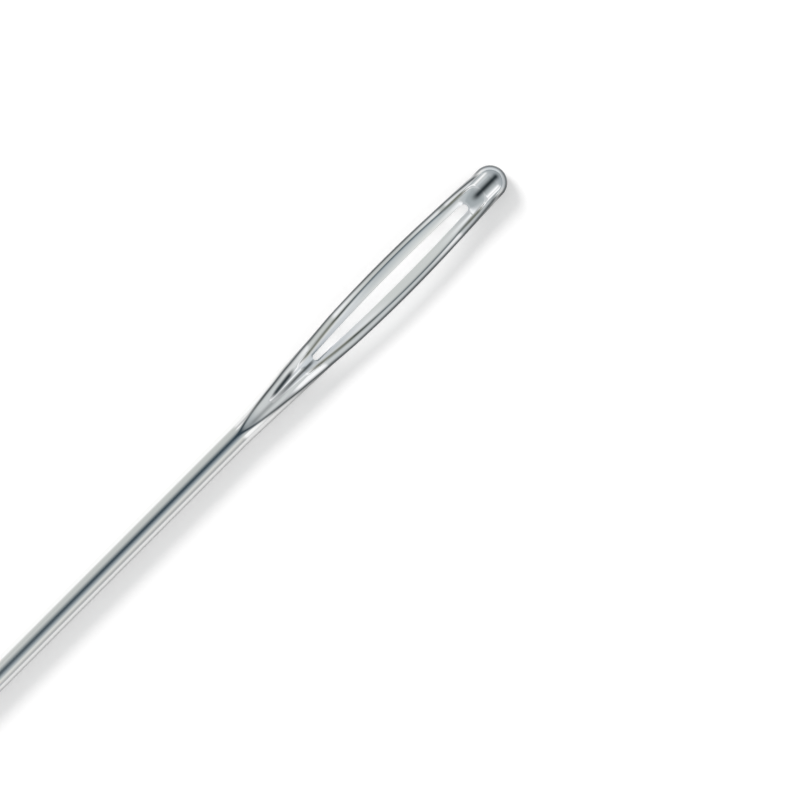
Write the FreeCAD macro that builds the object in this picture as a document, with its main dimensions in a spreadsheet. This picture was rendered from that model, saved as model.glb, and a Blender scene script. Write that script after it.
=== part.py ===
import FreeCAD, Part
import math
import os

import Sketcher
from FreeCAD import Vector

# A tapestry needle of size 18: round steel wire with a blunt cone point, a long gentle taper and a
# stamped head. The needle lies along X with its point at -X, the head's flats face up and down,
# and the shank touches z = 0. All sizes are in millimetres and degrees. A name that ends in
# to_end is a distance back from the head's end, and a blend is the radius that rounds a corner.

SIZES = {
    # wire and blunt point
    "needle_length": 48.0,
    "shank_diameter": 1.27,
    "point_diameter": 0.62,
    "point_half_angle": 37.0,
    "nose_radius": 0.06,
    "point_blend": 0.2,
    "taper_length": 10.7,
    # outline of the head: straight flanks between rounded corners, and a round end
    "shoulder_to_end": 17.67,
    "shoulder_blend": 12.0,
    "waist_to_end": 12.3,
    "waist_width": 1.67,
    "waist_blend": 12.0,
    "foot_to_end": 10.9,
    "foot_width": 1.885,
    "foot_blend": 12.0,
    "crown_to_end": 7.5,
    "crown_width": 2.2,
    "crown_blend": 70.0,
    "end_radius": 0.86,
    # flats pressed into both faces: they ramp down from the shank and rise again behind the eye
    "head_thickness": 0.74,
    "ramp_angle": 2.3,
    "ramp_blend": 14.0,
    "end_ramp_to_end": 3.1,
    "end_ramp_angle": 3.6,
    # eye: a punched slot with a rounded bevel on both faces
    "eye_to_end": 2.39,
    "eye_length": 10.36,
    "eye_width": 0.6,
    "eye_foot_radius": 0.15,
    "eye_crown_radius": 0.2,
    "eye_wall": 0.42,
    "bevel_past_crown": 1.01,
    "bevel_past_foot": 0.78,
    "bevel_past_side": 0.46,
    "bevel_foot_radius": 0.3,
    "bevel_crown_radius": 0.5,
    "bevel_bulge": 0.09,
    # gutters that lead the thread into the eye from both ends, on both faces
    "gutter_past_eye": 2.85,
    "gutter_start_width": 0.2,
    "gutter_start_depth": 0.03,
    "gutter_width": 0.7,
    "gutter_depth": 0.12,
    "end_gutter_width": 1.12,
    "end_gutter_depth": 0.15,
    "end_gutter_run_out": 0.5,
    "end_gutter_to_end": 0.36,
    "end_gutter_tail_width": 0.5,
    "end_gutter_tail_depth": 0.02,
}

NODE = "tapestry_needle"
# How far a cutting tool stands out past the metal, so that it never stops flush with a face.
CLEAR = 0.05

RADIUS = "sizes.shank_diameter / 2"
FLAT = "sizes.head_thickness / 2"
HEAD_END = "sizes.needle_length / 2"
SHOULDER = f"({HEAD_END} - sizes.shoulder_to_end)"
FLANK = (
    "(atan((sizes.waist_width - sizes.shank_diameter) / 2"
    " / (sizes.shoulder_to_end - sizes.waist_to_end)))"
)
RAMP_START = f"({SHOULDER} - sizes.shoulder_blend * tan({FLANK} / 2))"
END_RAMP_START = f"({HEAD_END} - sizes.end_ramp_to_end)"

doc = FreeCAD.newDocument("tapestry_needle")
sizes = doc.addObject("Spreadsheet::Sheet", "sizes")
for row, (alias, value) in enumerate(SIZES.items(), start=1):
    sizes.set(f"A{row}", alias)
    sizes.set(f"B{row}", str(value))
    sizes.setAlias(f"B{row}", alias)
doc.recompute()

body = doc.addObject("PartDesign::Body", "needle")
body.Label = NODE
body.setExpression("Placement.Base.z", RADIUS)


def value_of(expression):
    return float(sizes.evalExpression(expression.replace("sizes.", "")))


def origin(role):
    return next(item for item in body.Origin.OriginFeatures if item.Role == role)


def new_sketch(name, plane, offset="0"):
    """A sketch on one of the body's own planes, lifted off it along the plane's normal."""
    sketch = body.newObject("Sketcher::SketchObject", name)
    sketch.AttachmentSupport = [(origin(plane), "")]
    sketch.MapMode = "FlatFace"
    sketch.setExpression("AttachmentOffset.Base.z", offset)
    return sketch


def bind(sketch, constraint, name, expression):
    """Add a constraint whose value follows the sheet."""
    index = sketch.addConstraint(constraint)
    sketch.renameConstraint(index, name)
    sketch.setExpression(f"Constraints.{name}", expression)


def end_near(sketch, edge, point):
    """Which end of an edge, 1 or 2, lies at a point."""
    return min((1, 2), key=lambda end: sketch.getPoint(edge, end).distanceToPoint(point))


def outline(name, plane, corners, arcs, blends=None, offset="0"):
    """A closed outline whose corners are pairs of expressions. An edge that is listed in arcs, by
    the number of its first corner, is an arc with that radius, bulging left of its travel if +1.
    A corner that is listed in blends is rounded with that radius."""
    sketch = new_sketch(name, plane, offset)
    points = [Vector(value_of(x), value_of(y), 0) for x, y in corners]
    count = len(points)
    for edge, start in enumerate(points):
        end = points[(edge + 1) % count]
        if edge not in arcs:
            sketch.addGeometry(Part.LineSegment(start, end))
            continue
        radius, side = value_of(arcs[edge][0]), arcs[edge][1]
        chord = end - start
        left = Vector(-chord.y, chord.x, 0).normalize()
        rise = radius - math.sqrt(radius ** 2 - chord.Length ** 2 / 4)
        sketch.addGeometry(Part.Arc(start, start + chord / 2 + left * side * rise, end))
    for edge, start in enumerate(points):
        here = end_near(sketch, edge, start)
        before = (edge - 1) % count
        sketch.addConstraint(Sketcher.Constraint(
            "Coincident", before, end_near(sketch, before, start), edge, here))
        for axis, kind in enumerate(("DistanceX", "DistanceY")):
            constraint = Sketcher.Constraint(kind, -1, 1, edge, here, start[axis])
            bind(sketch, constraint, f"corner_{edge}_{kind[-1].lower()}", corners[edge][axis])
        if edge in arcs:
            radius = Sketcher.Constraint("Radius", edge, value_of(arcs[edge][0]))
            bind(sketch, radius, f"radius_{edge}", arcs[edge][0])
    for corner, radius in (blends or {}).items():
        arc = sketch.GeometryCount
        sketch.fillet(corner, end_near(sketch, corner, points[corner]), value_of(radius), True, True)
        bind(sketch, Sketcher.Constraint("Radius", arc, value_of(radius)), f"blend_{corner}", radius)
    return sketch


def finish(feature, adds=True):
    """Recompute, and prove that the feature added or took metal, as it should."""
    doc.recompute()
    before = feature.BaseFeature.Shape.Volume if feature.BaseFeature else 0.0
    change = feature.Shape.Volume - before
    if abs(change) < 1e-6 or (change > 0) != adds:
        raise RuntimeError(f"{feature.Name} changed the volume by {change:.6f}")
    return feature


def make_wire():
    """The needle as it is before pressing, turned about X: the blunt point, the taper, the round
    shank, and the head with its full width all round."""
    tip = f"(-{HEAD_END})"
    slope = "(sizes.point_half_angle * 1 deg)"
    nose_x = f"({tip} + sizes.nose_radius * (1 - sin({slope})))"
    nose_y = f"(sizes.nose_radius * cos({slope}))"
    base = "(sizes.point_diameter / 2)"
    cone_x = f"({nose_x} + ({base} - {nose_y}) / tan({slope}))"
    full_x = f"({tip} + sizes.taper_length)"
    rise = f"({RADIUS} - {base})"
    ogive = f"(({full_x} - {cone_x})^2 + {rise}^2) / (2 * {rise})"
    crown_run = "(sizes.crown_to_end - sizes.end_radius)"
    crown = "(sizes.crown_width / 2)"
    fall = f"(atan({crown} / {crown_run}) - asin(sizes.end_radius / sqrt({crown_run}^2 + {crown}^2)))"
    corners = [
        (tip, "0"),
        (nose_x, nose_y),
        (cone_x, base),
        (full_x, RADIUS),
        (SHOULDER, RADIUS),
        (f"({HEAD_END} - sizes.waist_to_end)", "(sizes.waist_width / 2)"),
        (f"({HEAD_END} - sizes.foot_to_end)", "(sizes.foot_width / 2)"),
        (f"({HEAD_END} - sizes.crown_to_end)", crown),
        (f"({HEAD_END} - sizes.end_radius * (1 - sin({fall})))", f"(sizes.end_radius * cos({fall}))"),
        (HEAD_END, "0"),
    ]
    arcs = {0: ("sizes.nose_radius", 1), 2: (ogive, 1), 8: ("sizes.end_radius", 1)}
    blends = {4: "sizes.shoulder_blend", 5: "sizes.waist_blend", 6: "sizes.foot_blend",
              7: "sizes.crown_blend"}
    wire = body.newObject("PartDesign::Revolution", "wire")
    wire.Profile = outline("wire_profile", "XZ_Plane", corners, arcs, blends)
    wire.ReferenceAxis = (origin("X_Axis"), [""])
    wire.Angle = 360
    finish(wire)
    around = math.pi * value_of("sizes.point_diameter")
    ring = next(
        index for index, edge in enumerate(wire.Shape.Edges, start=1)
        if math.isclose(edge.Length, around, rel_tol=1e-6)
    )
    blend = body.newObject("PartDesign::Fillet", "point_blend")
    blend.Base = (wire, [f"Edge{ring}"])
    blend.setExpression("Radius", "sizes.point_blend")
    finish(blend, adds=False)


def ramp_height(place):
    """Height of the ramp behind the shoulder at a place along X."""
    return f"({RADIUS} - ({place} - {RAMP_START}) * tan(sizes.ramp_angle * 1 deg))"


def end_ramp_height(place):
    """Height of the ramp that rises again behind the eye, at a place along X."""
    return f"({FLAT} + ({place} - {END_RAMP_START}) * tan(sizes.end_ramp_angle * 1 deg))"


def press_flats():
    """The upper flat: a ramp that leaves the wire's top where the head starts to swell, the level
    flat beside the eye, and a short ramp up to the thicker end."""
    slope = "(sizes.ramp_angle * 1 deg)"
    end_slope = "(sizes.end_ramp_angle * 1 deg)"
    top = f"({RADIUS} + {CLEAR})"
    corner = f"({RAMP_START} + ({RADIUS} - {FLAT}) / tan({slope}))"
    tangent = f"(sizes.ramp_blend * tan({slope} / 2))"
    end_tangent = f"(sizes.ramp_blend * tan({end_slope} / 2))"
    past_end = f"({HEAD_END} + {CLEAR})"
    high = f"({RADIUS} + 10 * {CLEAR})"
    start = f"({RAMP_START} - {CLEAR} / tan({slope}))"
    corners = [
        (start, top),
        (f"({corner} - {tangent} * cos({slope}))", f"({FLAT} + {tangent} * sin({slope}))"),
        (f"({corner} + {tangent})", FLAT),
        (f"({END_RAMP_START} - {end_tangent})", FLAT),
        (f"({END_RAMP_START} + {end_tangent} * cos({end_slope}))",
         f"({FLAT} + {end_tangent} * sin({end_slope}))"),
        (past_end, end_ramp_height(past_end)),
        (past_end, high),
        (start, high),
    ]
    arcs = {1: ("sizes.ramp_blend", -1), 3: ("sizes.ramp_blend", -1)}
    press = body.newObject("PartDesign::Pocket", "upper_flat")
    press.Profile = outline("flat_profile", "XZ_Plane", corners, arcs)
    press.Type = "ThroughAll"
    press.Midplane = True
    return finish(press, adds=False)


def oval(name, height, to_end, length, width, foot_radius, crown_radius):
    """A long oval of four tangent arcs, lying along X at a height above the middle plane."""
    sketch = new_sketch(name, "XY_Plane", height)
    foot_centre = f"({HEAD_END} - {to_end} - {length} + {foot_radius})"
    crown_centre = f"({HEAD_END} - {to_end} - {crown_radius})"
    foot = Vector(value_of(foot_centre), 0)
    crown = Vector(value_of(crown_centre), 0)
    radii = value_of(foot_radius), value_of(crown_radius)
    half = value_of(width) / 2

    def reach(side_radius, end_radius):
        """How far an end arc's centre lies from the widest place of a side arc."""
        return math.sqrt((half - end_radius) * (2 * side_radius - end_radius - half))

    span = crown.x - foot.x
    roots = sum(math.sqrt(half - radius) for radius in radii)
    side = span ** 2 / (2 * roots ** 2)
    for _ in range(20):
        side *= (span / sum(reach(side, radius) for radius in radii)) ** 2
    middle = foot.x + reach(side, radii[0])
    side_centre = Vector(middle, half - side)
    foot_tangent = side_centre + (foot - side_centre).normalize() * side
    crown_tangent = side_centre + (crown - side_centre).normalize() * side
    flip = Vector(1, -1, 1)

    def mirrored(point):
        return Vector(point.x * flip.x, point.y * flip.y)

    tip_foot = Vector(foot.x - radii[0], 0)
    tip_crown = Vector(crown.x + radii[1], 0)
    sketch.addGeometry([
        Part.Arc(foot_tangent, tip_foot, mirrored(foot_tangent)),
        Part.Arc(mirrored(foot_tangent), Vector(middle, -half), mirrored(crown_tangent)),
        Part.Arc(mirrored(crown_tangent), tip_crown, crown_tangent),
        Part.Arc(crown_tangent, Vector(middle, half), foot_tangent),
    ])
    joints = [mirrored(foot_tangent), mirrored(crown_tangent), crown_tangent, foot_tangent]
    for edge, point in enumerate(joints):
        after = (edge + 1) % 4
        sketch.addConstraint(Sketcher.Constraint(
            "Tangent", edge, end_near(sketch, edge, point), after, end_near(sketch, after, point)))
    gauge = sketch.addGeometry(
        Part.LineSegment(Vector(middle - half, half), Vector(middle + half, half)), True)
    sketch.addConstraint([
        Sketcher.Constraint("PointOnObject", 0, 3, -1),
        Sketcher.Constraint("PointOnObject", 2, 3, -1),
        Sketcher.Constraint("Equal", 1, 3),
        Sketcher.Constraint("Horizontal", gauge),
        Sketcher.Constraint("Tangent", gauge, 3),
    ])
    bind(sketch, Sketcher.Constraint("Radius", 0, radii[0]), "foot_radius", foot_radius)
    bind(sketch, Sketcher.Constraint("Radius", 2, radii[1]), "crown_radius", crown_radius)
    bind(sketch, Sketcher.Constraint("DistanceX", -1, 1, 0, 3, foot.x), "foot_place", foot_centre)
    bind(sketch, Sketcher.Constraint("DistanceX", -1, 1, 2, 3, crown.x), "crown_place", crown_centre)
    bind(sketch, Sketcher.Constraint("DistanceY", -1, 1, gauge, 1, half), "half_width", f"{width} / 2")
    return sketch


def punch_eye():
    """The slot, right through, and the rounded bevel of the upper face."""
    eye = ("sizes.eye_to_end", "sizes.eye_length", "sizes.eye_width",
           "sizes.eye_foot_radius", "sizes.eye_crown_radius")
    mouth = (
        "(sizes.eye_to_end - sizes.bevel_past_crown)",
        "(sizes.eye_length + sizes.bevel_past_crown + sizes.bevel_past_foot)",
        "(sizes.eye_width + 2 * sizes.bevel_past_side)",
        "sizes.bevel_foot_radius",
        "sizes.bevel_crown_radius",
    )
    slot = body.newObject("PartDesign::Pocket", "eye_slot")
    slot.Profile = oval("slot_outline", "0", *eye)
    slot.Type = "ThroughAll"
    slot.Midplane = True
    finish(slot, adds=False)

    wall = "(sizes.eye_wall / 2)"
    bulge = "sizes.bevel_bulge"
    inside = [f"({eye[0]} + {CLEAR})", f"({eye[1]} - 2 * {CLEAR})", f"({eye[2]} - 2 * {CLEAR})",
              f"({eye[3]} - {CLEAR})", f"({eye[4]} - {CLEAR})"]
    halfway = [f"(({low} + {high}) / 2)" for low, high in zip(eye, mouth)]
    halfway[0] = f"({halfway[0]} + {bulge})"
    for index in (1, 2):
        halfway[index] = f"({halfway[index]} - 2 * {bulge})"
    for index in (3, 4):
        halfway[index] = f"({halfway[index]} - {bulge})"
    bevel = body.newObject("PartDesign::SubtractiveLoft", "upper_bevel")
    bevel.Profile = oval("bevel_floor", f"{wall} - {CLEAR}", *inside)
    bevel.Sections = [
        oval("bevel_middle", f"({wall} + {FLAT}) / 2", *halfway),
        oval("bevel_mouth", FLAT, *mouth),
    ]
    finish(bevel, adds=False)

    rise = f"({RADIUS} - {FLAT})"
    flared = [f"({mouth[0]} - {rise})", f"({mouth[1]} + 2 * {rise})", f"({mouth[2]} + 2 * {rise})",
              f"({mouth[3]} + {rise})", f"({mouth[4]} + {rise})"]
    flare = body.newObject("PartDesign::SubtractiveLoft", "upper_flare")
    flare.Profile = oval("flare_floor", FLAT, *mouth)
    flare.Sections = [oval("flare_top", RADIUS, *flared)]
    flare.Ruled = True
    finish(flare, adds=False)
    return bevel, flare


def gutter_section(name, place, surface, width, depth):
    """A round-bottomed channel across the needle, open above the metal's surface."""
    half = f"({width} / 2)"
    radius = f"({half}^2 + {depth}^2) / (2 * {depth})"
    above = f"({surface} + 2 * {CLEAR})"
    corners = [
        (f"(-{half})", surface),
        (half, surface),
        (half, above),
        (f"(-{half})", above),
    ]
    return outline(name, "YZ_Plane", corners, {0: (radius, -1)}, offset=place)


def cut_gutters():
    """The long gutter down the ramp to the eye's foot, and the short one from the eye's crown,
    which runs out before the head's end."""
    eye_foot = f"({HEAD_END} - sizes.eye_to_end - sizes.eye_length)"
    start = f"({eye_foot} - sizes.gutter_past_eye)"
    in_foot = f"({eye_foot} + 2 * sizes.eye_foot_radius)"
    gutter = body.newObject("PartDesign::SubtractiveLoft", "upper_gutter")
    gutter.Profile = gutter_section("gutter_start", start, ramp_height(start),
                                    "sizes.gutter_start_width", "sizes.gutter_start_depth")
    gutter.Sections = [gutter_section("gutter_mouth", in_foot, ramp_height(in_foot),
                                      "sizes.gutter_width", "sizes.gutter_depth")]
    finish(gutter, adds=False)

    in_crown = f"({HEAD_END} - sizes.eye_to_end - 2 * sizes.eye_crown_radius)"
    tail = f"({HEAD_END} - sizes.end_gutter_to_end)"
    full = f"({tail} - sizes.end_gutter_run_out)"
    end_gutter = body.newObject("PartDesign::SubtractiveLoft", "upper_end_gutter")
    end_gutter.Profile = gutter_section("end_gutter_mouth", in_crown, FLAT,
                                        "sizes.end_gutter_width", "sizes.end_gutter_depth")
    end_gutter.Sections = [
        gutter_section("end_gutter_full", full, end_ramp_height(full),
                       "sizes.end_gutter_width", "sizes.end_gutter_depth"),
        gutter_section("end_gutter_tail", tail, end_ramp_height(tail),
                       "sizes.end_gutter_tail_width", "sizes.end_gutter_tail_depth"),
    ]
    end_gutter.Ruled = True
    finish(end_gutter, adds=False)
    return gutter, end_gutter


def mirror_below(name, features):
    """The same cuts on the lower face."""
    lower = body.newObject("PartDesign::Mirrored", name)
    lower.Originals = features
    lower.MirrorPlane = (origin("XY_Plane"), [""])
    body.Tip = lower
    return finish(lower, adds=False)


make_wire()
mirror_below("lower_flat", [press_flats()])
mirror_below("lower_bevel_and_gutters", [*punch_eye(), *cut_gutters()])
doc.recompute()

for item in doc.Objects:
    if "Invalid" in item.State or "Error" in item.State:
        raise RuntimeError(f"{item.Name} failed: {item.State}")
shape = body.Shape
if shape.isNull() or not shape.isValid() or len(shape.Solids) != 1:
    raise RuntimeError(f"{NODE} is not one valid solid")
os.makedirs("parts", exist_ok=True)
shape.exportStep(f"parts/{NODE}.step")
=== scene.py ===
import math

import bmesh
import bpy
import numpy as np
from mathutils import Matrix, Vector


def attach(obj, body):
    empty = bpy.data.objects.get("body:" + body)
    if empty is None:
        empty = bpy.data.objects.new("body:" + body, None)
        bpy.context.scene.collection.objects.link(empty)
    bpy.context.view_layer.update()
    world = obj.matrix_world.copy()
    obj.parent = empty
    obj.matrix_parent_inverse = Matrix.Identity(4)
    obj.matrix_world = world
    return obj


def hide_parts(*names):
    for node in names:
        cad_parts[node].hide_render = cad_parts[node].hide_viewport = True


bl_info = {
    "name": "Tapestry Needle",
    "version": (1, 0, 0),
    "blender": (4, 5, 0),
    "location": "View3D > Sidebar > Needle",
    "description": "A polished tapestry needle with a stamped, bevelled eye, on a white table",
    "category": "Add Mesh",
}

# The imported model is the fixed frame: the needle lies along X with its point at -X, the flats of
# its head face up and down, and its shank rests on z = 0. Everything here is in metres.
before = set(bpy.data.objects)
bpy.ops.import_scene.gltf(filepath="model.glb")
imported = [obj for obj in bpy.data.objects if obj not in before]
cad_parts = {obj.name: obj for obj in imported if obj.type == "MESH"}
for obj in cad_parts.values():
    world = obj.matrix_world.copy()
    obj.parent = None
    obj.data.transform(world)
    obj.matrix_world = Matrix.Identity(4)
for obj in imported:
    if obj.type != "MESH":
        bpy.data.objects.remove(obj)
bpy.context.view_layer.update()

NODE = "tapestry_needle"
MM = 0.001
# The photograph's frame in pixels, how many millimetres of the needle one pixel covers, where the
# head's end lies in that frame, and the direction in which the needle climbs to the upper right.
FRAME_SIDE = 800
MM_PER_PIXEL = 0.04775
END_PIXEL = (502.2, 170.2)
CLIMB = (0.7064, 0.7078)

# How much the edges of the bevel, the long gutter and the short gutter are rounded, over what width
# the crest turns from one to the next, and how much of the outer rounding the flat starts with.
BEVEL_ROUND = 0.02 * MM
GUTTER_ROUND = 0.03 * MM
TROUGH_ROUND = 0.05 * MM
CREST_TURN = 0.15 * MM
CORNER_AT_START = 0.02
# Edges that turn by more than this stay sharp.
SHARP_TURN = math.radians(50.0)
# The mesh's columns over the upper and the lower face on each side, and the space between its
# stations along the head.
UPPER_COLUMNS = 61
LOWER_COLUMNS = 27
STATION_STEP = 0.055 * MM

# The painted shade along the outer corners, a dark line that stands in for their dark reflection:
# its share where the flat starts and further on, and its strength and reach round the head's end, as
# a firm line and a halo.
CREASE_SHARES = (0.55, 1.0)
EDGE_LINE = (0.85, 0.11 * MM)
EDGE_HALO = (0.2, 0.2 * MM)
# The painted shade along the bevel's crest, a dull line that stands in for its dark reflection: its
# width against the dark line's, and how much weaker it is beside the eye.
CREST_WIDTH = 1.1
CREST_LOSS = 0.7
# The painted shade that dims the steel's reflections: its strength round the eye's foot and crown,
# at the head's end, where the flat starts and on the long gutter's walls, and how far it runs from
# the foot on the key's side and the far side.
DIMMING_FOOT = 0.8
DIMMING_CROWN = 0.35
DIMMING_END = 0.75
DIMMING_START = 0.7
DIMMING_WALL = 0.7
DIMMING_KEY_SIDE = 7.5 * MM
DIMMING_FAR_SIDE = 4.0 * MM
# The painted shade in the gutters: its strength in its wedge, its streak and its core, and their
# places and widths across the needle, each at its start and further on.
WEDGE_SHADE = 0.98
STREAK_SHADE = 0.88
CORE_SHADE = 0.97
WEDGE_PLACE = (0.095 * MM, 0.455 * MM)
WEDGE_WIDTH = (0.03 * MM, 0.11 * MM)
STREAK_PLACE = (-0.09 * MM, -0.055 * MM)
STREAK_WIDTH = (0.105 * MM, 0.075 * MM)
STREAK_SHARES = (0.5, 1.0)
CORE_WIDTH = 0.155 * MM

# Where form and marks change softly along X, in millimetres from the place that is named beside it.
SPANS = {
    "foot_land": (0.5, 1.6),         # the long gutter's start
    "bar_land": (-1.0, 0.35),        # the eye's foot
    "crease_grows": (0.0, 2.0),      # where the flat leaves the wire
    "edge_darkens": (-0.5, 0.0),     # the centre of the round end
    "crest_starts": (0.0, 0.8),      # the bevel's foot
    "crest_stops": (-0.9, -0.3),     # the bevel's crown
    "crest_weakens": (2.6, 5.2),     # the bevel's foot
    "crest_recovers": (-2.6, -1.4),  # the bevel's crown
    "crown_dimming": (-3.0, -0.2),     # the eye's crown
    "end_dimming": (-0.85, -0.4),      # the head's end
    "start_dimming": (0.2, 1.3),       # where the flat leaves the wire
    "wall_dimming": (0.0, 0.6),        # the long gutter's start
    "streak_starts": (-0.2, 0.6),    # where the flat leaves the wire
    "core_starts": (0.34, 0.85),     # the short gutter's start
    "core_stops": (-0.25, 0.0),      # the short gutter's end
}
# The same for the painted shade in the long gutter, as shares of that gutter's length.
GUTTER_SPANS = {
    "wedge_widens": (-0.1, 0.25),
    "wedge_starts": (-0.06, 0.16),
    "wedge_stops": (0.46, 0.62),
    "streak_narrows": (0.1, 0.6),
    "streak_darkens": (0.0, 0.5),
    "streak_stops": (0.8, 0.95),
}

# The polishing lines: how often they repeat in a metre along and across the needle, their detail
# and their height, and how far the roughness varies with them.
POLISH_SCALE = (60.0, 9000.0, 9000.0)
POLISH_DETAIL = 3.0
POLISH_HEIGHT = 0.004 * MM
GLOSS_SPREAD = 0.3


def length(name, description, millimetres):
    """A length that the sidebar shows, given in millimetres."""
    return bpy.props.FloatProperty(
        name=name, description=description, default=millimetres * MM, subtype="DISTANCE",
        unit="LENGTH", precision=5)


def angle(name, description, degrees):
    """An angle that the sidebar shows, given in degrees."""
    return bpy.props.FloatProperty(
        name=name, description=description, default=math.radians(degrees), subtype="ANGLE",
        unit="ROTATION")


def colour(name, description, value):
    """An opaque colour that the sidebar shows."""
    return bpy.props.FloatVectorProperty(
        name=name, description=description, default=(*value, 1.0), size=4, subtype="COLOR",
        min=0.0, max=1.0)


def factor(name, description, value, highest=1.0):
    """A plain number from 0 to its highest value."""
    return bpy.props.FloatProperty(
        name=name, description=description, default=value, min=0.0, max=highest, subtype="FACTOR")


class NeedleSizes(bpy.types.PropertyGroup):
    """The sizes of the needle's point, shank and head."""

    full_length: length("Length", "From the point to the head's round end", 48.0)
    shank_radius: length("Shank radius", "Half of the wire's thickness", 0.635)
    nose_radius: length("Nose radius", "Rounding at the very tip", 0.06)
    cone_radius: length("Cone radius", "Half of the thickness where the blunt cone ends", 0.31)
    cone_angle: angle("Cone angle", "Slope of the blunt cone against the axis", 37.0)
    cone_blend: length("Cone blend", "Rounding between the cone and the taper", 0.2)
    taper: length("Taper", "From the tip to where the wire reaches its full thickness", 10.7)
    shoulder: length("Shoulder", "Where the head starts to widen, from its end", 17.67)
    waist: length("Waist", "Where the widening steepens, from the end", 12.3)
    waist_radius: length("Waist radius", "Half width at the waist", 0.835)
    foot: length("Foot", "Where the long widening starts, from the end", 10.9)
    foot_radius: length("Foot radius", "Half width at the foot", 0.9425)
    crown: length("Crown", "Where the flanks turn in again, from the end", 7.5)
    crown_radius: length("Crown radius", "Half width of the flanks' corner at the crown", 1.0995)
    small_blend: length("Small blend", "Rounding at the shoulder, waist and foot", 12.0)
    crown_blend: length("Crown blend", "Rounding of the flanks at the crown", 70.0)
    end_radius: length("End radius", "Radius of the head's round end", 0.83)
    flat_height: length("Flat height", "Half of the head's thickness", 0.37)
    ramp_angle: angle("Ramp", "Slope of the flat behind the shoulder", 2.3)
    ramp_blend: length("Ramp blend", "Rounding between the ramps and the flat", 14.0)
    ramp_start: length("Ramp start", "Where the flat leaves the shank, from the end", 17.39)
    ramp_onset: length("Ramp onset", "Rounding where the ramp leaves the shank", 42.0)
    end_ramp: length("End ramp", "Where the flat starts to rise again, from the end", 3.1)
    end_ramp_angle: angle("End ramp angle", "Slope of the flat behind the eye", 4.6)
    corner_round: length("Corner round", "Rounding of the flats' outer corners", 0.05)
    crest_round: length("Crest round", "How soon a face takes up its slope off a crest", 0.013)
    crease_width: length("Crease width", "Half width of the dark lines along the corners", 0.068)
    ramp_land: factor("Ramp land", "Outward fall of the flat on the ramp", 0.06)
    foot_land: factor("Foot land", "Outward fall of the flat before the eye", 0.2)
    bar_land: factor("Bar land", "Outward fall of the flat beside and behind the eye", 0.35)
    bevel_slope: factor("Bevel slope", "Fall of the bevel next to its crest", 0.28)
    channel_climb: factor("Channel climb", "How steeply a gutter's floor runs out", 0.6)
    eye_end: length("Eye to end", "From the eye to the head's end", 2.39)
    eye_length: length("Eye length", "Length of the slot", 10.36)
    eye_width: length("Eye width", "Width of the slot", 0.6)
    eye_foot: length("Eye foot", "Radius of the slot's end at the shank", 0.15)
    eye_crown: length("Eye crown", "Radius of the slot's end at the head's end", 0.2)
    eye_wall: length("Eye wall", "Height of the slot's wall between the bevels", 0.42)
    bevel_crown: length("Bevel past crown", "How far the bevel runs past the slot", 1.01)
    bevel_foot: length("Bevel past foot", "How far the bevel runs past the slot", 0.78)
    bevel_side: length("Bevel past side", "How far the bevel runs beside the slot", 0.46)
    bevel_foot_end: length("Bevel foot", "Radius of the bevel's end at the shank", 0.3)
    bevel_crown_end: length("Bevel crown", "Radius of the bevel's end at the head's end", 0.5)
    gutter_length: length("Gutter length", "How far the long gutter runs past the eye", 2.85)
    gutter_start_width: length("Gutter start width", "Width where the long gutter starts", 0.2)
    gutter_start_depth: length("Gutter start depth", "Depth where the long gutter starts", 0.03)
    gutter_width: length("Gutter width", "Width of the long gutter at the eye", 0.7)
    gutter_depth: length("Gutter depth", "Depth of the long gutter at the eye", 0.12)
    trough_width: length("Trough width", "Width of the short gutter behind the eye", 1.12)
    trough_depth: length("Trough depth", "Depth of the short gutter behind the eye", 0.15)
    trough_end: length("Trough end", "Where the short gutter stops, from the end", 0.2)


class NeedleFinish(bpy.types.PropertyGroup):
    """The polished steel, with a painted sheen on the pressed faces and painted shade in the
    corners, in the gutters, along the crest and round the eye's ends.
    """

    steel: colour("Steel", "The nickel-plated wire", (0.88, 0.885, 0.88))
    # Painted sheen: a brighter steel that lifts the reflections of the pressed faces above the
    # wire's.
    pressed: colour("Pressed", "The brighter faces that the press burnishes", (0.99, 0.995, 1.0))
    # Painted shade: a darker steel that dims the reflections round the eye's ends, at the head's end
    # and on the long gutter's walls.
    dimming_shade: colour("Dimming", "The less bright steel round the eye's ends", (0.53, 0.575, 0.61))
    # Painted shade: the dark colour of the lines in the corners and of the marks in the gutters.
    painted_shade: colour("Dark_shade", "Dark film that stays in the gutters and corners", (0.02, 0.034, 0.042))
    # Painted shade: the colour of the dark reflection along the bevel's crest.
    crest: colour("Crest", "Duller plating along the bevel's crest", (0.19, 0.2, 0.165))
    # Painted shade: how strong the dark line in the corners is.
    crease_shade_share: factor("Crease share", "How much of the film the corners hold", 0.92)
    # How strong the painted shade along the crest is.
    crest_shade_share: factor("Crest share", "How much duller the bevel's crest is", 1.0)
    roughness: factor("Roughness", "Roughness of the polished steel", 0.05)
    polish_depth: factor("Polish depth", "How deep the lengthwise polishing lines are", 0.08)


class StudioSettings(bpy.types.PropertyGroup):
    """The white table, the soft key and the studio that the steel mirrors."""

    table: colour("Table", "The white table top", (0.81, 0.795, 0.79))
    table_side: length("Table side", "Side of the square table top", 3000.0)
    key_height: angle("Key height", "The key light above the table", 37.5)
    key_width: angle("Key width", "How wide the key light looks from the needle", 24.0)
    key_power: factor("Key power", "Strength of the key light", 2.1, 10.0)
    lens: length("Lens", "Focal length of the camera", 1000.0)
    lift: factor("Lift", "Light that the table top adds for the camera and for mirrors", 0.25)
    eye_light: factor("Eye light", "Light on the table where it falls through the eye", 0.26)


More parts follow.
